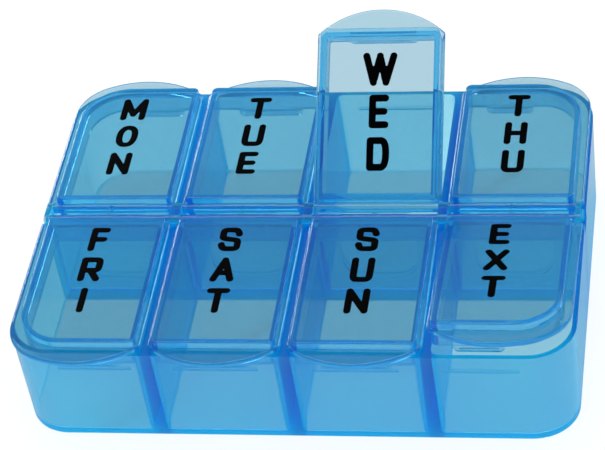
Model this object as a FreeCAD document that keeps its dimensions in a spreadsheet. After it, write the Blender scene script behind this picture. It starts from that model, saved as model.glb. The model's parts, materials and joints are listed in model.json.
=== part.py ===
import FreeCAD, Part
import math
import os

import Sketcher

# Eight-compartment weekly pill organizer with flip lids, injection moulded in clear tinted
# plastic.  One tray holds two rows of four wells.  A low spine wall between the rows carries
# five pivot lugs, and every lid snaps its two stub pins into the lugs on either side of it.
# Millimetres.  +X along the rows, +Y from the front row to the back row, +Z up, with the
# origin on the underside, at the centre.

doc = FreeCAD.newDocument("pill_organizer")

# ---------------------------------------------------------------- driving dimensions
SIZES = {
    # tray
    "pitch": 28.0,              # one column, from divider to divider
    "rim_height": 22.95,
    "rim_half_x": 56.95,
    "rim_half_y": 40.66,
    "rim_corner": 9.5,
    "outer_draft": 1.0,         # degrees
    "well_draft": 0.7,          # degrees
    "wall": 1.0,
    "divider_half": 1.05,
    "spine_half": 1.3,
    "floor": 1.0,
    "well_corner": 1.5,
    "floor_radius": 0.6,
    "foot_radius": 0.3,
    "small_corner": 0.35,
    "overcut": 0.5,             # how far a cut runs on past the material it opens
    # the spine's rounded foot, and the thinned window in either of its faces, in each column
    "spine_foot_radius": 2.3,
    "spine_foot_sink": 0.05,    # the arc ends this far under the floor
    "window_half": 8.05,
    "window_low": 6.5,
    "window_high": 19.4,
    "window_deep": 0.3,
    "window_round": 5.5,
    # hinge
    "axis_offset": 1.75,        # from the middle of the spine to either row's axis
    "axis_height": 24.05,
    "hole_radius": 0.75,
    "pin_radius": 0.7,
    "pin_reach": 0.85,          # how far a stub pin enters its lug
    "ear_radius": 1.15,
    "lug_half": 1.0,
    "lug_foot": 20.0,
    "end_lug_outer": 56.05,
    "side_play": 0.1,           # between a hinge barrel and its lug
    "barrel_radius": 1.0,
    "middle_radius": 1.1,
    "middle_half": 6.9,
    "gate_radius": 0.5,
    "gate_reach": 1.45,
    "spine_top": 22.1,
    "notch_half": 2.4,
    "notch_depth": 3.0,
    # lids
    "flange_half": 13.42,
    "flange_outer": 14.53,      # on the side of a corner lid that covers the tray's end wall
    "flange_start": 3.0,        # from the middle of the spine
    "flange_bottom": 23.05,
    "flange_top": 24.2,
    "flange_corner": 0.6,
    "flange_edge": 0.45,
    "web_thick": 1.0,           # the strip that joins the hinge barrel to the flange
    "tab_radius": 19.9,
    "tab_tip": 44.05,
    "outer_corner": 10.2,
    "panel_half": 12.53,
    "panel_start": 3.0,
    "panel_end": 39.6,
    "panel_top": 25.75,
    "panel_thick": 1.1,
    "panel_edge": 0.3,
    "panel_corner": 1.3,
    "panel_outer_corner": 10.0,
    "hinge_corner": 0.8,
    "hollow_corner": 0.4,
    "hinge_wall": 1.6,
    "lid_wall": 1.2,
    "skirt_end": 39.25,
    "skirt_bottom": 20.0,
    "skirt_outer_corner": 9.2,
    "tongue_bottom": 18.2,
    "tongue_face": 38.85,
    "tongue_half": 7.0,
    "corner_tongue_half": 5.0,
    "corner_tongue_shift": 3.4,
    "tongue_corner": 1.2,
    "bead_height": 18.9,
    "bead_radius": 0.3,
    # latch grooves in the front and back walls
    "groove_height": 19.0,
    "groove_wide": 0.7,
    "groove_deep": 0.45,
    "groove_half": 8.5,
    "corner_groove_half": 7.45,
    # the two lids that stand open
    "open_wednesday": 37.0,     # degrees
    "open_extra": 8.0,
}

sheet = doc.addObject("Spreadsheet::Sheet", "sizes")
for line, (alias, value) in enumerate(SIZES.items(), start=1):
    sheet.set(f"A{line}", alias)
    sheet.set(f"B{line}", str(value))
    sheet.setAlias(f"B{line}", alias)
doc.recompute()

GATE_TILT = 45.0                # degrees, from upright towards the spine
VOLUME_SLACK = 0.01             # mm3, below this a cut has taken nothing away


# ---------------------------------------------------------------- helpers for sketches and bodies
def new_body(name):
    body = doc.addObject("PartDesign::Body", name)
    body.Label = name
    return body


def origin_plane(body, role):
    return next(item for item in body.Origin.OriginFeatures if item.Role == role)


def new_sketch(body, name, role, height=None):
    """A sketch on one of the body's own planes, raised along its normal by an expression."""
    sketch = body.newObject("Sketcher::SketchObject", name)
    sketch.AttachmentSupport = [(origin_plane(body, role), "")]
    sketch.MapMode = "FlatFace"
    if height is not None:
        sketch.setExpression("AttachmentOffset.Base.z", height)
    return sketch


def evaluate(expression):
    """The value that a sheet expression has now, for laying out sketch geometry."""
    value = sheet.evalExpression(expression)
    return float(getattr(value, "Value", value))


def fix(sketch, constraint, geometry, point, expression):
    """Ties one coordinate of a sketch point to a sheet expression."""
    value = evaluate(expression)
    if abs(value) < 1e-9:
        axis_line = -2 if constraint == "DistanceX" else -1
        return sketch.addConstraint(Sketcher.Constraint("PointOnObject", geometry, point, axis_line))
    index = sketch.addConstraint(Sketcher.Constraint(constraint, -1, 1, geometry, point, value))
    sketch.setExpression(f"Constraints[{index}]", expression)
    return index


def rounded_box(sketch, left, right, low, high, corners):
    """A box whose four corners are arcs.  corners: radii at low-left, low-right, high-right,
    high-left, each an expression; every side and radius is bound to the sheet."""
    x0, x1, y0, y1 = (evaluate(side) for side in (left, right, low, high))
    radii = [evaluate(corner) for corner in corners]
    centres = (
        (x0 + radii[0], y0 + radii[0]),
        (x1 - radii[1], y0 + radii[1]),
        (x1 - radii[2], y1 - radii[2]),
        (x0 + radii[3], y1 - radii[3]),
    )
    first_angle = (180.0, 270.0, 0.0, 90.0)
    base = sketch.GeometryCount
    for (cx, cy), radius, start in zip(centres, radii, first_angle):
        circle = Part.Circle(FreeCAD.Vector(cx, cy, 0), FreeCAD.Vector(0, 0, 1), radius)
        arc = Part.ArcOfCircle(circle, math.radians(start), math.radians(start + 90.0))
        sketch.addGeometry(arc, False)
    for corner in range(4):
        here = sketch.Geometry[base + corner].EndPoint
        there = sketch.Geometry[base + (corner + 1) % 4].StartPoint
        sketch.addGeometry(Part.LineSegment(here, there), False)
    for corner in range(4):
        following = base + (corner + 1) % 4
        sketch.addConstraint(Sketcher.Constraint("Tangent", base + corner, 2, base + 4 + corner, 1))
        sketch.addConstraint(Sketcher.Constraint("Tangent", base + 4 + corner, 2, following, 1))
        direction = "Horizontal" if corner % 2 == 0 else "Vertical"
        sketch.addConstraint(Sketcher.Constraint(direction, base + 4 + corner))
    for corner, radius in enumerate(corners):
        value = evaluate(radius)
        index = sketch.addConstraint(Sketcher.Constraint("Radius", base + corner, value))
        sketch.setExpression(f"Constraints[{index}]", radius)
    fix(sketch, "DistanceY", base + 4, 1, low)
    fix(sketch, "DistanceX", base + 5, 1, right)
    fix(sketch, "DistanceY", base + 6, 1, high)
    fix(sketch, "DistanceX", base + 7, 1, left)


def pad(body, name, profile, length, midplane=False, reverse=False, taper=None):
    feature = body.newObject("PartDesign::Pad", name)
    feature.Profile = profile
    feature.setExpression("Length", length)
    feature.Midplane = midplane
    feature.Reversed = reverse
    if taper:
        feature.setExpression("TaperAngle", taper)
    doc.recompute()
    return feature


def pocket(body, name, profile, length, midplane=False, reverse=False, taper=None):
    """A pocket that has to take material away; one that cuts nothing stops the build."""
    before = body.Shape.Volume
    feature = body.newObject("PartDesign::Pocket", name)
    feature.Profile = profile
    feature.setExpression("Length", length)
    feature.Midplane = midplane
    feature.Reversed = reverse
    if taper:
        feature.setExpression("TaperAngle", taper)
    doc.recompute()
    if body.Shape.Volume > before - VOLUME_SLACK:
        raise RuntimeError(f"{name} cuts nothing")
    return feature


def mirror_all(body, name, originals, roles):
    """Repeats features across the body's own planes, in every combination."""
    transform = body.newObject("PartDesign::MultiTransform", name)
    steps = []
    for role in roles:
        step = body.newObject("PartDesign::Mirrored", f"{name}_{role.lower()}")
        step.MirrorPlane = (origin_plane(body, role), [""])
        steps.append(step)
    transform.Originals = originals
    transform.Transformations = steps
    body.Tip = transform
    doc.recompute()
    return transform


def edge_names(shape, test):
    return [f"Edge{i}" for i, edge in enumerate(shape.Edges, start=1) if test(edge)]


def at_height(edge, height, slack=0.01):
    return abs(edge.BoundBox.ZMin - height) < slack and abs(edge.BoundBox.ZMax - height) < slack


def fillet(body, name, base, names, radius):
    feature = body.newObject("PartDesign::Fillet", name)
    feature.Base = (base, names)
    feature.setExpression("Radius", radius)
    doc.recompute()
    return feature


# ---------------------------------------------------------------- tray
def spine_foot_outline(sketch):
    """Both rounded feet of the spine in one section, a little below the floor's surface."""
    radius = SIZES["spine_foot_radius"]
    reach = SIZES["spine_half"] + radius
    low = SIZES["floor"] / 2
    top = SIZES["floor"] - SIZES["spine_foot_sink"] + radius
    arcs = {}
    for side, start in ((1, 180.0), (-1, 270.0)):
        circle = Part.Circle(FreeCAD.Vector(side * reach, top, 0), FreeCAD.Vector(0, 0, 1), radius)
        arc = Part.ArcOfCircle(circle, math.radians(start), math.radians(start + 90.0))
        arcs[side] = sketch.addGeometry(arc, False)
    corners = [
        FreeCAD.Vector(reach, top - radius, 0),
        FreeCAD.Vector(reach, low, 0),
        FreeCAD.Vector(-reach, low, 0),
        FreeCAD.Vector(-reach, top - radius, 0),
    ]
    right, under, left = (
        sketch.addGeometry(Part.LineSegment(here, there), False)
        for here, there in zip(corners, corners[1:])
    )
    across = sketch.addGeometry(Part.LineSegment(
        FreeCAD.Vector(radius - reach, top, 0), FreeCAD.Vector(reach - radius, top, 0)), False)
    ring = (arcs[1], right, under, left, arcs[-1], across)
    for here, there in zip(ring, ring[1:] + ring[:1]):
        sketch.addConstraint(Sketcher.Constraint("Coincident", here, 2, there, 1))
    for line, direction in ((right, "Vertical"), (under, "Horizontal"),
                            (left, "Vertical"), (across, "Horizontal")):
        sketch.addConstraint(Sketcher.Constraint(direction, line))
    top_alias = "sizes.floor - sizes.spine_foot_sink + sizes.spine_foot_radius"
    reach_alias = "(sizes.spine_half + sizes.spine_foot_radius)"
    for side, sign in ((1, ""), (-1, "-")):
        index = sketch.addConstraint(Sketcher.Constraint("Radius", arcs[side], radius))
        sketch.setExpression(f"Constraints[{index}]", "sizes.spine_foot_radius")
        fix(sketch, "DistanceX", arcs[side], 3, f"{sign}{reach_alias}")
        fix(sketch, "DistanceY", arcs[side], 3, top_alias)
    fix(sketch, "DistanceY", across, 1, top_alias)
    fix(sketch, "DistanceX", right, 1, reach_alias)
    fix(sketch, "DistanceX", left, 1, f"-{reach_alias}")
    fix(sketch, "DistanceY", under, 1, "sizes.floor / 2")


def make_tray():
    body = new_body("tray")

    foot_outline = new_sketch(body, "foot_outline", "XY_Plane")
    inset = "sizes.rim_height * tan(sizes.outer_draft * 1deg)"
    rounded_box(
        foot_outline,
        f"-(sizes.rim_half_x - {inset})", f"sizes.rim_half_x - {inset}",
        f"-(sizes.rim_half_y - {inset})", f"sizes.rim_half_y - {inset}",
        [f"sizes.rim_corner - {inset}"] * 4,
    )
    block = pad(body, "block", foot_outline, "sizes.rim_height", taper="sizes.outer_draft")
    foot = edge_names(block.Shape, lambda edge: at_height(edge, 0.0))
    fillet(body, "foot_rounding", block, foot, "sizes.foot_radius")

    # Two of the eight wells: one in a middle column and one in a corner column.
    well_depth = "sizes.rim_height - sizes.floor"
    middle_mouth = new_sketch(body, "middle_mouth", "XY_Plane", "sizes.rim_height")
    rounded_box(
        middle_mouth,
        "sizes.divider_half", "sizes.pitch - sizes.divider_half",
        "sizes.spine_half", "sizes.rim_half_y - sizes.wall",
        ["sizes.well_corner"] * 4,
    )
    middle_well = pocket(body, "middle_well", middle_mouth, well_depth, taper="-sizes.well_draft")
    corner_mouth = new_sketch(body, "corner_mouth", "XY_Plane", "sizes.rim_height")
    rounded_box(
        corner_mouth,
        "sizes.pitch + sizes.divider_half", "sizes.rim_half_x - sizes.wall",
        "sizes.spine_half", "sizes.rim_half_y - sizes.wall",
        ["sizes.well_corner", "sizes.well_corner", "sizes.rim_corner - sizes.wall",
         "sizes.well_corner"],
    )
    corner_well = pocket(body, "corner_well", corner_mouth, well_depth, taper="-sizes.well_draft")

    # Latch grooves, one in the outer wall of each well.
    grooves = []
    reach = "sizes.rim_half_y - sizes.wall + sizes.groove_deep"
    for name, centre, half in (
        ("middle_groove", "sizes.pitch / 2", "sizes.groove_half"),
        ("corner_groove", "sizes.pitch * 1.5 - sizes.corner_tongue_shift", "sizes.corner_groove_half"),
    ):
        outline = new_sketch(body, f"{name}_outline", "XY_Plane", "sizes.groove_height")
        rounded_box(
            outline,
            f"{centre} - {half}", f"{centre} + {half}",
            "sizes.rim_half_y - sizes.wall - sizes.overcut", reach,
            ["sizes.groove_deep / 3"] * 4,
        )
        grooves.append(pocket(body, name, outline, "sizes.groove_wide", midplane=True))

    # The spine's faces are thinned in each column, in a window with a rounded foot.
    windows = []
    for name, centre in (
        ("middle_window", "sizes.pitch / 2"),
        ("corner_window", "sizes.pitch * 1.5"),
    ):
        outline = new_sketch(body, f"{name}_outline", "XZ_Plane",
                             "-(sizes.spine_half - sizes.window_deep)")
        rounded_box(
            outline,
            f"{centre} - sizes.window_half", f"{centre} + sizes.window_half",
            "sizes.window_low", "sizes.window_high",
            ["sizes.window_round"] * 2 + ["sizes.small_corner"] * 2,
        )
        windows.append(pocket(body, name, outline, "sizes.window_deep + sizes.overcut"))
    wells = mirror_all(body, "all_wells", [middle_well, corner_well] + grooves + windows,
                       ["YZ_Plane", "XZ_Plane"])
    floor_height = SIZES["floor"]
    floor_edges = edge_names(wells.Shape, lambda edge: at_height(edge, floor_height))
    fillet(body, "floor_rounding", wells, floor_edges, "sizes.floor_radius")

    foot_profile = new_sketch(body, "spine_foot_profile", "YZ_Plane")
    spine_foot_outline(foot_profile)
    pad(body, "spine_foot", foot_profile, "2 * sizes.rim_half_x - sizes.wall", midplane=True)

    # The spine is cut down between the lugs, to leave room for the hinge barrels.
    gap_outline = new_sketch(body, "spine_gap_outline", "XY_Plane", "sizes.rim_height")
    rounded_box(
        gap_outline,
        "sizes.lug_half", "sizes.pitch - sizes.lug_half",
        "-sizes.spine_half - sizes.overcut", "sizes.spine_half + sizes.overcut",
        ["sizes.small_corner"] * 4,
    )
    spine_gap = pocket(body, "spine_gap", gap_outline, "sizes.rim_height - sizes.spine_top")
    end_gap_outline = new_sketch(body, "end_gap_outline", "XY_Plane", "sizes.rim_height")
    rounded_box(
        end_gap_outline,
        "sizes.pitch + sizes.lug_half", "sizes.pitch * 2 - sizes.lug_half",
        "-sizes.spine_half - sizes.overcut", "sizes.spine_half + sizes.overcut",
        ["sizes.small_corner"] * 4,
    )
    end_gap = pocket(body, "end_gap", end_gap_outline, "sizes.rim_height - sizes.spine_top")

    # A shallow notch in the rim, outside either end lug.
    notch_outline = new_sketch(body, "notch_outline", "XY_Plane", "sizes.rim_height")
    rounded_box(
        notch_outline,
        "sizes.end_lug_outer", "sizes.rim_half_x + 2 * sizes.overcut",
        "-sizes.notch_half", "sizes.notch_half",
        ["sizes.flange_corner"] * 4,
    )
    notch = pocket(body, "notch", notch_outline, "sizes.notch_depth")
    mirror_all(body, "both_ends", [spine_gap, end_gap, notch], ["YZ_Plane"])

    # Pivot lugs: a loaf-shaped plate that rounds over both hinge axes.
    lugs = []
    for name, near, far in (
        ("centre_lug", "-sizes.lug_half", "sizes.lug_half"),
        ("divider_lug", "sizes.pitch - sizes.lug_half", "sizes.pitch + sizes.lug_half"),
        ("end_lug", "sizes.pitch * 2 - sizes.lug_half", "sizes.end_lug_outer"),
    ):
        outline = new_sketch(body, f"{name}_outline", "YZ_Plane", near)
        half = "(sizes.axis_offset + sizes.ear_radius)"
        rounded_box(
            outline,
            f"-{half}", half,
            "sizes.lug_foot", "sizes.axis_height + sizes.ear_radius",
            ["sizes.small_corner", "sizes.small_corner", "sizes.ear_radius", "sizes.ear_radius"],
        )
        lugs.append(pad(body, name, outline, f"{far} - ({near})"))
    mirror_all(body, "all_lugs", lugs[1:], ["YZ_Plane"])

    # The pin holes, bored through all the lugs of a row in one line.
    holes = new_sketch(body, "pin_holes_outline", "YZ_Plane")
    for side, offset in ((-1, "-sizes.axis_offset"), (1, "sizes.axis_offset")):
        centre = FreeCAD.Vector(side * SIZES["axis_offset"], SIZES["axis_height"], 0)
        circle = Part.Circle(centre, FreeCAD.Vector(0, 0, 1), SIZES["hole_radius"])
        hole = holes.addGeometry(circle, False)
        index = holes.addConstraint(Sketcher.Constraint("Radius", hole, SIZES["hole_radius"]))
        holes.setExpression(f"Constraints[{index}]", "sizes.hole_radius")
        fix(holes, "DistanceX", hole, 3, offset)
        fix(holes, "DistanceY", hole, 3, "sizes.axis_height")
    pocket(body, "pin_holes", holes, "2 * sizes.rim_half_x", midplane=True)
    return body


# ---------------------------------------------------------------- lids
# Every lid is drawn closed, for a column of the back row, with its hinge axis on its own X
# axis.  corner is 0 for a lid in a middle column, and -1 or 1 for one whose outer side, towards
# -X or +X, follows the tray's rounded corner.
LOCAL_Y = "- sizes.axis_offset"
LOCAL_Z = "- sizes.axis_height"


def tab_outline(sketch, corner):
    """The flange: straight sides, and a thumb tab that is one shallow arc right across."""
    tab_centre = SIZES["tab_tip"] - SIZES["tab_radius"] - SIZES["axis_offset"]
    low = SIZES["flange_start"] - SIZES["axis_offset"]
    half = {side: SIZES["flange_outer"] if corner == side else SIZES["flange_half"] for side in (-1, 1)}
    top = {side: tab_centre + math.sqrt(SIZES["tab_radius"] ** 2 - half[side] ** 2) for side in (-1, 1)}
    low_left = FreeCAD.Vector(-half[-1], low, 0)
    low_right = FreeCAD.Vector(half[1], low, 0)
    high_right = FreeCAD.Vector(half[1], top[1], 0)
    high_left = FreeCAD.Vector(-half[-1], top[-1], 0)
    tip = FreeCAD.Vector(0, tab_centre + SIZES["tab_radius"], 0)
    bottom = sketch.addGeometry(Part.LineSegment(low_left, low_right), False)
    right = sketch.addGeometry(Part.LineSegment(low_right, high_right), False)
    tab = sketch.addGeometry(Part.Arc(high_right, tip, high_left), False)
    left = sketch.addGeometry(Part.LineSegment(high_left, low_left), False)
    ring = (bottom, right, tab, left)
    for here, there in zip(ring, ring[1:] + ring[:1]):
        sketch.addConstraint(Sketcher.Constraint("Coincident", here, 2, there, 1))
    sketch.addConstraint(Sketcher.Constraint("Horizontal", bottom))
    sketch.addConstraint(Sketcher.Constraint("Vertical", right))
    sketch.addConstraint(Sketcher.Constraint("Vertical", left))
    side_alias = {side: "flange_outer" if corner == side else "flange_half" for side in (-1, 1)}
    fix(sketch, "DistanceY", bottom, 1, f"sizes.flange_start {LOCAL_Y}")
    fix(sketch, "DistanceX", bottom, 1, f"-sizes.{side_alias[-1]}")
    fix(sketch, "DistanceX", bottom, 2, f"sizes.{side_alias[1]}")
    fix(sketch, "DistanceX", tab, 3, "0")
    fix(sketch, "DistanceY", tab, 3, f"sizes.tab_tip - sizes.tab_radius {LOCAL_Y}")
    index = sketch.addConstraint(Sketcher.Constraint("Radius", tab, SIZES["tab_radius"]))
    sketch.setExpression(f"Constraints[{index}]", "sizes.tab_radius")


def vertical_edges(shape, places):
    """Names of the upright edges that stand at the given X signs, on the free side."""
    found = []
    for i, edge in enumerate(shape.Edges, start=1):
        box = edge.BoundBox
        upright = box.XLength < 0.01 and box.YLength < 0.01
        free = box.YMin > SIZES["tab_tip"] / 2
        if upright and free and any(box.XMin * side > 0 for side in places):
            found.append(f"Edge{i}")
    return found


def corner_radii(corner, plain, outer):
    """Radii for rounded_box: the two hinge-side corners, then the two free corners."""
    right = outer if corner == 1 else plain
    left = outer if corner == -1 else plain
    return ["sizes.hinge_corner", "sizes.hinge_corner", right, left]


def make_lid(name, corner, column, front, opened=None):
    body = new_body(name)

    flange_outline = new_sketch(body, f"{name}_flange_outline", "XY_Plane",
                                f"sizes.flange_bottom {LOCAL_Z}")
    tab_outline(flange_outline, corner)
    flange = pad(body, f"{name}_flange", flange_outline, "sizes.flange_top - sizes.flange_bottom")
    plain = vertical_edges(flange.Shape, [side for side in (-1, 1) if side != corner])
    base = fillet(body, f"{name}_flange_corner", flange, plain, "sizes.flange_corner")
    if corner:
        outer = vertical_edges(base.Shape, [corner])
        base = fillet(body, f"{name}_outer_corner", base, outer, "sizes.outer_corner")
    faces = [SIZES[face] - SIZES["axis_height"] for face in ("flange_top", "flange_bottom")]
    lip_edges = edge_names(base.Shape, lambda edge: any(at_height(edge, z) for z in faces))
    fillet(body, f"{name}_flange_rounding", base, lip_edges, "sizes.flange_edge")

    # The raised panel, with its top edge rounded over.
    panel_outline = new_sketch(body, f"{name}_panel_outline", "XY_Plane",
                               f"sizes.flange_bottom {LOCAL_Z}")
    rounded_box(
        panel_outline,
        "-sizes.panel_half", "sizes.panel_half",
        f"sizes.panel_start {LOCAL_Y}", f"sizes.panel_end {LOCAL_Y}",
        corner_radii(corner, "sizes.panel_corner", "sizes.panel_outer_corner"),
    )
    panel = pad(body, f"{name}_panel", panel_outline, "sizes.panel_top - sizes.flange_bottom")
    top = SIZES["panel_top"] - SIZES["axis_height"]
    rim = edge_names(panel.Shape, lambda edge: at_height(edge, top))
    fillet(body, f"{name}_panel_rounding", panel, rim, "sizes.panel_edge")

    # The skirt that drops into the well, and the latch tongue below its free end.
    skirt_outline = new_sketch(body, f"{name}_skirt_outline", "XY_Plane",
                               f"sizes.skirt_bottom {LOCAL_Z}")
    rounded_box(
        skirt_outline,
        "-sizes.panel_half", "sizes.panel_half",
        f"sizes.panel_start {LOCAL_Y}", f"sizes.skirt_end {LOCAL_Y}",
        corner_radii(corner, "sizes.panel_corner", "sizes.skirt_outer_corner"),
    )
    pad(body, f"{name}_skirt", skirt_outline, "sizes.flange_top - sizes.skirt_bottom")

    hollow_outline = new_sketch(body, f"{name}_hollow_outline", "XY_Plane",
                                f"sizes.panel_top - sizes.panel_thick {LOCAL_Z}")
    rounded_box(
        hollow_outline,
        "-(sizes.panel_half - sizes.lid_wall)", "sizes.panel_half - sizes.lid_wall",
        f"sizes.panel_start + sizes.hinge_wall {LOCAL_Y}",
        f"sizes.skirt_end - sizes.lid_wall {LOCAL_Y}",
        ["sizes.hollow_corner"] * 2
        + corner_radii(corner, "sizes.hollow_corner",
                       "sizes.skirt_outer_corner - sizes.lid_wall")[2:],
    )
    pocket(body, f"{name}_hollow", hollow_outline,
           "sizes.panel_top - sizes.panel_thick - sizes.skirt_bottom + sizes.overcut")

    half = "sizes.corner_tongue_half" if corner else "sizes.tongue_half"
    shift = f"({-corner} * sizes.corner_tongue_shift)"
    tongue_outline = new_sketch(body, f"{name}_tongue_outline", "XZ_Plane",
                                f"-(sizes.skirt_end - sizes.lid_wall {LOCAL_Y})")
    rounded_box(
        tongue_outline,
        f"{shift} - {half}", f"{shift} + {half}",
        f"sizes.tongue_bottom {LOCAL_Z}", f"sizes.flange_bottom {LOCAL_Z}",
        ["sizes.tongue_corner"] * 2 + ["sizes.small_corner"] * 2,
    )
    pad(body, f"{name}_tongue", tongue_outline,
        "sizes.tongue_face - sizes.skirt_end + sizes.lid_wall", reverse=True)

    # The latch bead: a half-round rib along the tongue's outer face.
    bead_outline = new_sketch(body, f"{name}_bead_outline", "YZ_Plane",
                              f"{shift} - {half} + sizes.tongue_corner")
    place = FreeCAD.Vector(SIZES["tongue_face"] - SIZES["axis_offset"],
                           SIZES["bead_height"] - SIZES["axis_height"], 0)
    circle = Part.Circle(place, FreeCAD.Vector(0, 0, 1), SIZES["bead_radius"])
    bead = bead_outline.addGeometry(circle, False)
    index = bead_outline.addConstraint(Sketcher.Constraint("Radius", bead, SIZES["bead_radius"]))
    bead_outline.setExpression(f"Constraints[{index}]", "sizes.bead_radius")
    fix(bead_outline, "DistanceX", bead, 3, f"sizes.tongue_face {LOCAL_Y}")
    fix(bead_outline, "DistanceY", bead, 3, f"sizes.bead_height {LOCAL_Z}")
    pad(body, f"{name}_bead", bead_outline, f"2 * ({half} - sizes.tongue_corner)")

    # The hinge: a barrel in three lengths, the middle one fuller, and a stub pin at each end.
    for piece, radius, length in (
        ("barrel", "barrel_radius", "sizes.pitch - 2 * (sizes.lug_half + sizes.side_play)"),
        ("middle_barrel", "middle_radius", "2 * sizes.middle_half"),
        ("pins", "pin_radius",
         "sizes.pitch - 2 * (sizes.lug_half + sizes.side_play) + 2 * sizes.pin_reach"),
    ):
        outline = new_sketch(body, f"{name}_{piece}_outline", "YZ_Plane")
        circle = Part.Circle(FreeCAD.Vector(), FreeCAD.Vector(0, 0, 1), SIZES[radius])
        ring = outline.addGeometry(circle, False)
        outline.addConstraint(Sketcher.Constraint("Coincident", ring, 3, -1, 1))
        index = outline.addConstraint(Sketcher.Constraint("Radius", ring, SIZES[radius]))
        outline.setExpression(f"Constraints[{index}]", f"sizes.{radius}")
        pad(body, f"{name}_{piece}", outline, length, midplane=True)

    # The strip between the pivot lugs, from the barrel to the flange.
    web_outline = new_sketch(body, f"{name}_web_outline", "XY_Plane",
                             f"sizes.flange_top - sizes.web_thick {LOCAL_Z}")
    web_half = "(sizes.pitch / 2 - sizes.lug_half - sizes.side_play)"
    rounded_box(
        web_outline,
        f"-{web_half}", web_half,
        "0", f"sizes.panel_start + sizes.overcut {LOCAL_Y}",
        ["sizes.small_corner"] * 4,
    )
    pad(body, f"{name}_web", web_outline, "sizes.web_thick - sizes.flange_edge / 3")

    # The mould gate's stub, halfway along the barrel, turned up towards the spine.
    gate = body.newObject("PartDesign::AdditiveCylinder", f"{name}_gate")
    gate.setExpression("Radius", "sizes.gate_radius")
    gate.setExpression("Height", "sizes.gate_reach")
    gate.AttachmentOffset = FreeCAD.Placement(
        FreeCAD.Vector(), FreeCAD.Rotation(FreeCAD.Vector(1, 0, 0), GATE_TILT))
    gate.AttachmentSupport = [(origin_plane(body, "XY_Plane"), "")]
    gate.MapMode = "FlatFace"
    doc.recompute()

    swing = SIZES[opened] if opened else 0.0
    row = -1 if front else 1
    turn = FreeCAD.Rotation(FreeCAD.Vector(0, 0, 1), 180.0 if front else 0.0)
    lift = FreeCAD.Rotation(FreeCAD.Vector(1, 0, 0), swing)
    place = FreeCAD.Vector(column * SIZES["pitch"], row * SIZES["axis_offset"], SIZES["axis_height"])
    body.Placement = FreeCAD.Placement(place, turn.multiply(lift))
    body.setExpression("Placement.Base.x", f"{column} * sizes.pitch")
    body.setExpression("Placement.Base.y", f"{row} * sizes.axis_offset")
    body.setExpression("Placement.Base.z", "sizes.axis_height")
    return body


# name, corner side in the lid's own frame, column centre in pitches, front row, opening angle
LIDS = (
    ("lid_monday", -1, -1.5, False, None),
    ("lid_tuesday", 0, -0.5, False, None),
    ("lid_wednesday", 0, 0.5, False, "open_wednesday"),
    ("lid_thursday", 1, 1.5, False, None),
    ("lid_friday", 1, -1.5, True, None),
    ("lid_saturday", 0, -0.5, True, None),
    ("lid_sunday", 0, 0.5, True, None),
    ("lid_extra", -1, 1.5, True, "open_extra"),
)

nodes = [make_tray()]
for name, corner, column, front, opened in LIDS:
    nodes.append(make_lid(name, corner, column, front, opened))
doc.recompute()

# ---------------------------------------------------------------- checks and export
for item in doc.Objects:
    if "Invalid" in item.State or "Error" in item.State:
        raise RuntimeError(f"{item.Name} did not build: {item.State}")

os.makedirs("parts", exist_ok=True)
for body in nodes:
    shape = body.Shape
    if shape.isNull() or not shape.isValid() or len(shape.Solids) != 1:
        raise RuntimeError(f"{body.Label} is not one valid solid")
    shape.exportStep(f"parts/{body.Label}.step")
    box = shape.BoundBox
    print(f"{body.Label:14s} {shape.Volume:9.1f} mm3  x {box.XMin:7.2f} {box.XMax:7.2f}"
          f"  y {box.YMin:7.2f} {box.YMax:7.2f}  z {box.ZMin:6.2f} {box.ZMax:6.2f}")
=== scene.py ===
import json
import math
import bpy
from mathutils import Matrix, Vector


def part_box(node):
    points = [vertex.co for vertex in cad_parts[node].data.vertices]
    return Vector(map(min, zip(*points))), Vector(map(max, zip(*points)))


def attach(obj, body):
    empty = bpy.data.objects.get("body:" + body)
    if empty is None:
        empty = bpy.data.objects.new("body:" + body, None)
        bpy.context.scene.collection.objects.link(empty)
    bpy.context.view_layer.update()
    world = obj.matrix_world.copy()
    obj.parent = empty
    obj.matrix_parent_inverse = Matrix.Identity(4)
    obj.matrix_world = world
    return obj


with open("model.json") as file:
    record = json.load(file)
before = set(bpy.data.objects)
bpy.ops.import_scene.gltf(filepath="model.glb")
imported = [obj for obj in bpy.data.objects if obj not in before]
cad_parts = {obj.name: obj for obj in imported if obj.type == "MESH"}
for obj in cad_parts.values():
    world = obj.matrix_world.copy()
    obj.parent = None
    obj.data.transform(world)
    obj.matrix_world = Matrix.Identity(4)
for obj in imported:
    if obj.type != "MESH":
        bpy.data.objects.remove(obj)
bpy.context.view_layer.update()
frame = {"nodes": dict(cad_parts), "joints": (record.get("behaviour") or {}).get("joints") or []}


# ---------------------------------------------------------------- camera, floor and light
# A small product on a white sweep in a studio: seen from above and a little from the right,
# with the camera rolled, broad soft boxes overhead and at the back left, and two dim strips
# behind, to either side, that draw the bright lines along the moulded edges.
MM = 0.001                      # metres
AIM = Vector((-3.57, 7.53, 14.0)) * MM
CAMERA_DISTANCE = 531.4 * MM
CAMERA_AZIMUTH = math.radians(14.03)
CAMERA_ELEVATION = math.radians(41.40)
CAMERA_ROLL = math.radians(-9.49)
CAMERA_LENS = 149.35            # mm, on a sensor this many mm wide
SENSOR_WIDTH = 36.0
CLIP_START = 0.01
CLIP_END = 20.0

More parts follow.
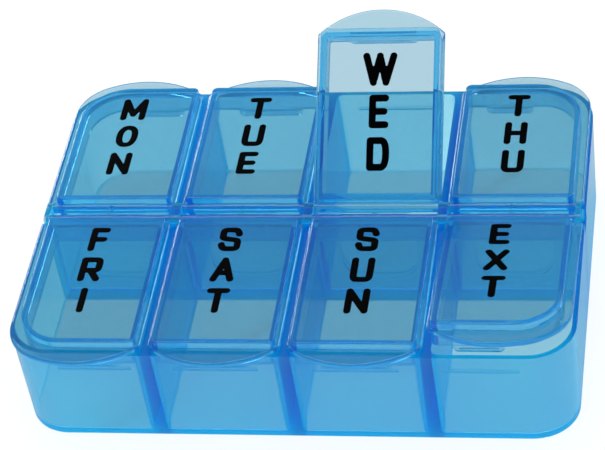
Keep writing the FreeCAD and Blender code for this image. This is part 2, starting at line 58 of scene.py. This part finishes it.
away = Vector((
    math.sin(CAMERA_AZIMUTH) * math.cos(CAMERA_ELEVATION),
    -math.cos(CAMERA_AZIMUTH) * math.cos(CAMERA_ELEVATION),
    math.sin(CAMERA_ELEVATION),
))
level_right = (-away).cross(Vector((0, 0, 1))).normalized()
level_up = level_right.cross(-away)
camera_right = level_right * math.cos(CAMERA_ROLL) + level_up * math.sin(CAMERA_ROLL)
camera_up = level_up * math.cos(CAMERA_ROLL) - level_right * math.sin(CAMERA_ROLL)
camera_data = bpy.data.cameras.new("camera")
camera_data.lens = CAMERA_LENS
camera_data.sensor_width = SENSOR_WIDTH
camera_data.clip_start = CLIP_START
camera_data.clip_end = CLIP_END
camera = bpy.data.objects.new("camera", camera_data)
bpy.context.scene.collection.objects.link(camera)
turn = Matrix((camera_right, camera_up, away)).transposed()
camera.matrix_world = Matrix.Translation(AIM + away * CAMERA_DISTANCE) @ turn.to_4x4()
bpy.context.scene.camera = camera


def linear(hex_colour):
    """An sRGB hex colour as linear red, green, blue and 1."""
    channels = [int(hex_colour[i:i + 2], 16) / 255 for i in (1, 3, 5)]
    return [c / 12.92 if c <= 0.04045 else ((c + 0.055) / 1.055) ** 2.4 for c in channels] + [1.0]


def new_material(name):
    material = bpy.data.materials.new(name)
    material.use_nodes = True
    material.node_tree.nodes.clear()
    return material


def add_node(material, kind, settings=None, inputs=None):
    """Adds a node, with its own settings and its input values or links."""
    node = material.node_tree.nodes.new(kind)
    for name, value in (settings or {}).items():
        setattr(node, name, value)
    for name, value in (inputs or {}).items():
        if isinstance(value, bpy.types.NodeSocket):
            material.node_tree.links.new(value, node.inputs[name])
        else:
            node.inputs[name].default_value = value
    return node


FLOOR_COLOUR = "#F4F5F6"
FLOOR_SIZE = 6.0
FLOOR_DROP = 0.3 * MM           # keeps the floor from lying in the same plane as the tray's foot
SHADOW_FADE = 0.80              # how much of the floor shows as plain white paper
THROUGH_FADE = 0.92             # the same for the floor as it shows through the plastic
GLOW = 1.03                     # the paper is a little overexposed
MIRROR_FADE = 0.3               # how much of the floor the plastic does not mirror

bpy.ops.object.select_all(action="DESELECT")
bpy.ops.mesh.primitive_plane_add(size=FLOOR_SIZE, location=(0, 0, -FLOOR_DROP))
floor = bpy.context.object
floor.name = "floor"
# matt white paper: it takes the object's soft shadow, and is close to pure white everywhere else
paper = new_material("white_paper_sweep")
rays = add_node(paper, "ShaderNodeLightPath")
open_air = add_node(paper, "ShaderNodeMath", {"operation": "MULTIPLY"},
                    {0: rays.outputs["Is Camera Ray"], 1: SHADOW_FADE})
through = add_node(paper, "ShaderNodeMath", {"operation": "MULTIPLY"},
                   {0: rays.outputs["Is Transmission Ray"], 1: THROUGH_FADE})
fade = add_node(paper, "ShaderNodeMath", {"operation": "MAXIMUM"},
                {0: open_air.outputs["Value"], 1: through.outputs["Value"]})
matt = add_node(paper, "ShaderNodeBsdfDiffuse", None, {"Color": linear(FLOOR_COLOUR)})
glow = add_node(paper, "ShaderNodeEmission", None, {"Color": (1, 1, 1, 1), "Strength": GLOW})
lit = add_node(paper, "ShaderNodeMixShader", None,
               {0: fade.outputs["Value"], 1: matt.outputs["BSDF"], 2: glow.outputs["Emission"]})
bounced = add_node(paper, "ShaderNodeMath", {"operation": "SUBTRACT", "use_clamp": True},
                   {0: rays.outputs["Is Glossy Ray"], 1: rays.outputs["Is Transmission Ray"]})
mirrored = add_node(paper, "ShaderNodeMath", {"operation": "MULTIPLY"},
                    {0: bounced.outputs["Value"], 1: MIRROR_FADE})
unlit = add_node(paper, "ShaderNodeEmission", None, {"Color": (0, 0, 0, 1), "Strength": 0.0})
both = add_node(paper, "ShaderNodeMixShader", None,
                {0: mirrored.outputs["Value"], 1: lit.outputs["Shader"], 2: unlit.outputs["Emission"]})
add_node(paper, "ShaderNodeOutputMaterial", None, {"Surface": both.outputs["Shader"]})
floor.data.materials.append(paper)

ROOM_SEEN = 1.00                # the white room behind the object
ROOM_LEVEL = 1.00               # diffuse light from it
ROOM_GLOSS = 0.30               # the room as the plastic mirrors it
ROOM_BEHIND = 0.15              # the room as it shows through the plastic
world = bpy.data.worlds.new("studio")
bpy.context.scene.world = world
world.use_nodes = True
world.node_tree.nodes.clear()
rays = add_node(world, "ShaderNodeLightPath")
gloss = add_node(world, "ShaderNodeMix", {"data_type": "FLOAT"},
                 {0: rays.outputs["Is Glossy Ray"], 2: ROOM_LEVEL, 3: ROOM_GLOSS})
refracted = add_node(world, "ShaderNodeMath", {"operation": "SUBTRACT", "use_clamp": True},
                     {0: rays.outputs["Is Transmission Ray"], 1: rays.outputs["Is Diffuse Ray"]})
behind = add_node(world, "ShaderNodeMix", {"data_type": "FLOAT"},
                  {0: refracted.outputs["Value"], 2: gloss.outputs[0], 3: ROOM_BEHIND})
level = add_node(world, "ShaderNodeMix", {"data_type": "FLOAT"},
                 {0: rays.outputs["Is Camera Ray"], 2: behind.outputs[0], 3: ROOM_SEEN})
sky = add_node(world, "ShaderNodeBackground", None,
               {"Color": (1, 1, 1, 1), "Strength": level.outputs[0]})
add_node(world, "ShaderNodeOutputWorld", None, {"Surface": sky.outputs["Background"]})

# name, place, width, height (metres), watts, and whether it also lights matt surfaces; the
# strips are only there to be mirrored
SOFT_BOXES = (
    ("overhead_box", (-0.10, 0.25, 0.90), 0.60, 0.60, 2.1, True),
    ("back_left_box", (-0.58, 0.68, 0.22), 0.26, 0.46, 1.4, True),
    ("back_right_strip", (0.46, 0.70, 0.46), 0.16, 0.36, 0.6, False),
    ("left_strip", (-0.55, 0.68, 0.40), 0.16, 0.50, 1.6, False),
)
for name, place, width, height, watts, lights_matt in SOFT_BOXES:
    lamp_data = bpy.data.lights.new(name, "AREA")
    lamp_data.shape = "RECTANGLE"
    lamp_data.size = width
    lamp_data.size_y = height
    lamp_data.energy = watts
    lamp = bpy.data.objects.new(name, lamp_data)
    bpy.context.scene.collection.objects.link(lamp)
    lamp.visible_diffuse = lights_matt
    lamp.location = place
    lamp.rotation_mode = "QUATERNION"
    lamp.rotation_quaternion = (-Vector(place)).to_track_quat("-Z", "Y")

CLEAR_BOUNCES = 32              # light crosses many thin clear walls on its way out
STRAIGHT_BOUNCES = 48
MIRROR_BOUNCES = 12
bpy.context.scene.view_settings.view_transform = "Standard"
cycles = bpy.context.scene.cycles
cycles.max_bounces = CLEAR_BOUNCES
cycles.transmission_bounces = CLEAR_BOUNCES
cycles.transparent_max_bounces = STRAIGHT_BOUNCES
cycles.glossy_bounces = MIRROR_BOUNCES


# ---------------------------------------------------------------- tray
# One injection moulding in clear polystyrene with a blue dye.  The dye is all through it, so a
# thin wall is pale and every edge, seen end on, is a deep blue.  The pills rub the wells, so
# the tray is milkier than its lids.
POLYSTYRENE_IOR = 1.59
DYE_DENSITY = 380.0             # per metre, for the red that the dye takes out
LAMP_THROUGH = "#E5FDFE"        # what one surface lets a lamp's light through with
RIPPLE_STRENGTH = 0.10
RIPPLE_DEEP = 0.2 * MM
POLISHED = 0.015                # roughness as the mould leaves it
RUBBED = 0.10                   # roughness in a rubbed scratch
SCRATCH_FROM = 0.55             # the noise is a scratch from here on, and a full one
SCRATCH_FULL = 0.8              # from here on
SCRATCH_TURN = 0.5              # radians, from the tray's length
SCRATCH_STRETCH = 14            # length of a scratch to its width
TRAY_DYE = "#00E6FC"
TRAY_HAZE_COLOUR = "#3FDAF5"
TRAY_HAZE = 0.33                # share of the light that a surface scatters
TRAY_RIPPLE = 14.0 * MM
TRAY_SCRATCH = 9.0 * MM


def tinted_polystyrene(name, dye_colour, haze_colour, haze, ripple, scratch):
    """Glossy, with the shallow sink and flow ripple of a moulding and a few rubbed scratches."""
    plastic = new_material(name)
    place = add_node(plastic, "ShaderNodeTexCoord")
    flow = add_node(plastic, "ShaderNodeTexNoise", None,
                    {"Vector": place.outputs["Object"], "Scale": 1 / ripple, "Detail": 2.0})
    stretch = add_node(plastic, "ShaderNodeMapping", None,
                       {"Vector": place.outputs["Object"], "Rotation": (0, 0, SCRATCH_TURN),
                        "Scale": (1, SCRATCH_STRETCH, 1)})
    scratches = add_node(plastic, "ShaderNodeTexNoise", None,
                         {"Vector": stretch.outputs["Vector"], "Scale": 1 / scratch, "Detail": 4.0})
    rubbed = add_node(plastic, "ShaderNodeMapRange", None,
                      {"Value": scratches.outputs["Fac"], "From Min": SCRATCH_FROM,
                       "From Max": SCRATCH_FULL, "To Min": POLISHED, "To Max": RUBBED})
    bump = add_node(plastic, "ShaderNodeBump", None,
                    {"Height": flow.outputs["Fac"], "Strength": RIPPLE_STRENGTH,
                     "Distance": RIPPLE_DEEP})
    clear = add_node(plastic, "ShaderNodeBsdfPrincipled", None, {
        "Base Color": (1, 1, 1, 1),
        "Roughness": rubbed.outputs["Result"],
        "IOR": POLYSTYRENE_IOR,
        "Transmission Weight": 1.0,
        "Normal": bump.outputs["Normal"],
    })
    milk = add_node(plastic, "ShaderNodeBsdfTranslucent", None, {"Color": linear(haze_colour)})
    hazed = add_node(plastic, "ShaderNodeMixShader", None,
                     {0: haze, 1: clear.outputs["BSDF"], 2: milk.outputs["BSDF"]})
    rays = add_node(plastic, "ShaderNodeLightPath")
    passing = add_node(plastic, "ShaderNodeMath", {"operation": "ADD", "use_clamp": True},
                       {0: rays.outputs["Is Shadow Ray"], 1: rays.outputs["Is Diffuse Ray"]})
    straight = add_node(plastic, "ShaderNodeBsdfTransparent", None, {"Color": linear(LAMP_THROUGH)})
    both = add_node(plastic, "ShaderNodeMixShader", None,
                    {0: passing.outputs["Value"], 1: hazed.outputs["Shader"],
                     2: straight.outputs["BSDF"]})
    dye = add_node(plastic, "ShaderNodeVolumeAbsorption", None,
                   {"Color": linear(dye_colour), "Density": DYE_DENSITY})
    add_node(plastic, "ShaderNodeOutputMaterial", None,
             {"Surface": both.outputs["Shader"], "Volume": dye.outputs["Volume"]})
    return plastic


# clear tinted polystyrene, moulded and handled: glossy, faintly rippled, a little milky
tray_plastic = tinted_polystyrene("tinted_polystyrene_tray", TRAY_DYE, TRAY_HAZE_COLOUR, TRAY_HAZE,
                                  TRAY_RIPPLE, TRAY_SCRATCH)
tray = frame["nodes"]["tray"]
tray.data.materials.clear()
tray.data.materials.append(tray_plastic)


# ---------------------------------------------------------------- lids
# Eight mouldings in the same plastic, each snapped by its two stub pins between the lugs of
# the tray's spine.  They are handled less than the wells, so they are clearer, and their
# smaller moulds leave a finer ripple.
LID_DYE = "#00E1FC"
LID_HAZE_COLOUR = "#3FD4FD"
LID_HAZE = 0.17
LID_RIPPLE = 11.0 * MM
LID_SCRATCH = 7.0 * MM

# the tray's clear tinted polystyrene with less milk, so that the white floor shows through
lid_plastic = tinted_polystyrene("tinted_polystyrene_lid", LID_DYE, LID_HAZE_COLOUR, LID_HAZE,
                                 LID_RIPPLE, LID_SCRATCH)
for name, lid in frame["nodes"].items():
    if name != "tray":
        lid.data.materials.clear()
        lid.data.materials.append(lid_plastic)


# ---------------------------------------------------------------- printed day letters
# Each lid carries its day as three plain capitals in black ink, stacked from the hinge
# towards the thumb tab so that all eight read upright from the front.  They are drawn with
# one round pen, and the ink dries as a thin film, slightly domed.
CAP_HEIGHT = 7.15 * MM
PEN_WIDE = 1.5 * MM
LETTER_PITCH = 9.0 * MM
INK_THICK = 0.05 * MM
ROUND_STEPS = 24                # facets around the pen's round end
REMESH_CELL = 0.12 * MM
KEPT_FACES = 0.15               # share of the remeshed faces that the outline needs
INK_COLOUR = "#010102"
INK_GRAIN = 0.6 * MM
INK_SHEEN = (0.45, 0.70)        # roughness, from the smoothest ink to the roughest
INK_IOR = 1.3
INK_GLOSS = 0.04
# word, then the middle of its stack: aside of the lid's middle, and out from the spine (mm)
DAYS = {
    "monday": ("MON", -0.75, 23.2),
    "tuesday": ("TUE", -0.9, 23.2),
    "wednesday": ("WED", 0.2, 21.7),
    "thursday": ("THU", -0.7, 23.2),
    "friday": ("FRI", -0.45, 18.7),
    "saturday": ("SAT", -0.75, 18.7),
    "sunday": ("SUN", -0.4, 18.7),
    "extra": ("EXT", -1.4, 18.7),
}
# width in mm, then the pen strokes in shares of the width and height.  A stroke of order 2 is
# straight from point to point, and one of order 3 rounds every corner between its two ends.
CAPITALS = {
    "A": (5.0, ((2, ((0, 0), (0.5, 1), (1, 0))), (2, ((0.2, 0.33), (0.8, 0.33))))),
    "D": (4.8, ((2, ((0, 0), (0, 1))),
                (3, ((0, 1), (0.35, 1), (1, 1), (1, 0), (0.35, 0), (0, 0))))),
    "E": (4.2, ((2, ((1, 1), (0, 1), (0, 0), (1, 0))), (2, ((0, 0.5), (0.9, 0.5))))),
    "F": (4.0, ((2, ((1, 1), (0, 1), (0, 0))), (2, ((0, 0.5), (0.9, 0.5))))),
    "H": (4.8, ((2, ((0, 0), (0, 1))), (2, ((1, 0), (1, 1))), (2, ((0, 0.5), (1, 0.5))))),
    "I": (1.5, ((2, ((0, 0), (0, 1))),)),
    "M": (5.6, ((2, ((0, 0), (0, 1), (0.5, 0.2), (1, 1), (1, 0))),)),
    "N": (4.9, ((2, ((0, 0), (0, 1), (1, 0), (1, 1))),)),
    "O": (4.8, ((3, ((0.5, 1), (1, 1), (1, 0), (0, 0), (0, 1), (0.5, 1))),)),
    "R": (4.7, ((2, ((0, 0), (0, 1))), (2, ((0.5, 0.45), (1, 0))),
                (3, ((0, 1), (0.5, 1), (1, 1), (1, 0.73), (1, 0.45), (0.5, 0.45), (0, 0.45))))),
    "S": (4.8, ((3, ((1, 0.78), (0.9, 1), (0.5, 1), (0, 1), (0, 0.76), (0, 0.55), (0.5, 0.5),
                     (1, 0.45), (1, 0.24), (1, 0), (0.5, 0), (0.1, 0), (0, 0.22))),)),
    "T": (4.8, ((2, ((0, 1), (1, 1))), (2, ((0.5, 1), (0.5, 0))))),
    "U": (4.8, ((3, ((0, 1), (0, 0.5), (0, 0), (0.5, 0), (1, 0), (1, 0.5), (1, 1))),)),
    "W": (7.2, ((2, ((0, 1), (0.27, 0), (0.5, 1), (0.73, 0), (1, 1))),)),
    "X": (4.9, ((2, ((0, 0), (1, 1))), (2, ((0, 1), (1, 0))))),
}

# screen-printed ink: black and close to matt, with a fine grain in its sheen
ink = new_material("screen_print_black_ink")
place = add_node(ink, "ShaderNodeTexCoord")
grain = add_node(ink, "ShaderNodeTexNoise", None,
                 {"Vector": place.outputs["Object"], "Scale": 1 / INK_GRAIN, "Detail": 3.0})
sheen = add_node(ink, "ShaderNodeMapRange", None,
                 {"Value": grain.outputs["Fac"], "To Min": INK_SHEEN[0], "To Max": INK_SHEEN[1]})
coat = add_node(ink, "ShaderNodeBsdfPrincipled", None,
                {"Base Color": linear(INK_COLOUR), "Roughness": sheen.outputs["Result"],
                 "IOR": INK_IOR, "Specular IOR Level": INK_GLOSS})
add_node(ink, "ShaderNodeOutputMaterial", None, {"Surface": coat.outputs["BSDF"]})


def capital(letter):
    """One bold capital as a film of ink, its underside centred on the origin."""
    width, strokes = CAPITALS[letter]
    pen_radius = PEN_WIDE / 2
    pen = bpy.data.curves.new(letter, "CURVE")
    pen.dimensions = "3D"
    pen.bevel_depth = pen_radius
    pen.use_fill_caps = True
    turns = []
    for order, points in strokes:
        line = pen.splines.new("NURBS")
        line.points.add(len(points) - 1)
        places = [((x - 0.5) * (width * MM - PEN_WIDE), (y - 0.5) * (CAP_HEIGHT - PEN_WIDE), 0)
                  for x, y in points]
        for knot, spot in zip(line.points, places):
            knot.co = (*spot, 1)
        line.order_u = order
        line.use_endpoint_u = True
        turns += places if order == 2 else [places[0], places[-1]]
    drawn = bpy.data.objects.new(letter, pen)
    bpy.context.scene.collection.objects.link(drawn)
    bpy.ops.object.select_all(action="DESELECT")
    drawn.select_set(True)
    bpy.context.view_layer.objects.active = drawn
    bpy.ops.object.convert(target="MESH")
    # a ball at every end and sharp corner rounds them off as the pen would
    rounds = [drawn]
    for spot in turns:
        bpy.ops.mesh.primitive_uv_sphere_add(segments=ROUND_STEPS, ring_count=ROUND_STEPS // 2,
                                             radius=pen_radius, location=spot)
        rounds.append(bpy.context.object)
    for part in rounds:
        part.select_set(True)
    bpy.context.view_layer.objects.active = drawn
    bpy.ops.object.join()
    drawn.data.remesh_voxel_size = REMESH_CELL
    bpy.ops.object.voxel_remesh()
    bpy.ops.object.modifier_add(type="DECIMATE")
    drawn.modifiers[-1].ratio = KEPT_FACES
    bpy.ops.object.modifier_apply(modifier=drawn.modifiers[-1].name)
    # the lower half is pressed flat onto the lid, and the upper half to the film's thickness
    film = drawn.data
    for point in film.vertices:
        point.co.z = max(point.co.z, 0) * INK_THICK / pen_radius
    bpy.data.objects.remove(drawn)
    return film


hinges = {joint["child"]: joint for joint in frame["joints"]}
panel_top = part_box("lid_tuesday")[1].z      # all eight panels are this high when closed
stencils = {letter: capital(letter) for letter in CAPITALS}
for day, (word, aside, out) in DAYS.items():
    hinge = hinges[f"lid_{day}"]
    axis_point = Vector(hinge["pos_m"])
    row = -1 if axis_point.y < 0 else 1
    bpy.ops.object.select_all(action="DESELECT")
    for step, letter in enumerate(word):
        printed = bpy.data.objects.new(f"print_{letter}", stencils[letter].copy())
        bpy.context.scene.collection.objects.link(printed)
        spot = Vector((axis_point.x + aside * MM, row * out * MM + (1 - step) * LETTER_PITCH,
                       panel_top))
        printed.data.transform(Matrix.Translation(spot))
        printed.select_set(True)
        bpy.context.view_layer.objects.active = printed
    bpy.ops.object.join()
    label = bpy.context.object
    label.name = f"label_{day}"
    # printed on the closed lid, and raised with it to where the lid rests
    raised = math.radians(-hinge["range_deg"][0])
    swing = Matrix.Rotation(raised, 4, Vector(hinge["axis"]))
    label.data.transform(Matrix.Translation(axis_point) @ swing @ Matrix.Translation(-axis_point))
    label.data.materials.append(ink)
    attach(label, f"lid_{day}")
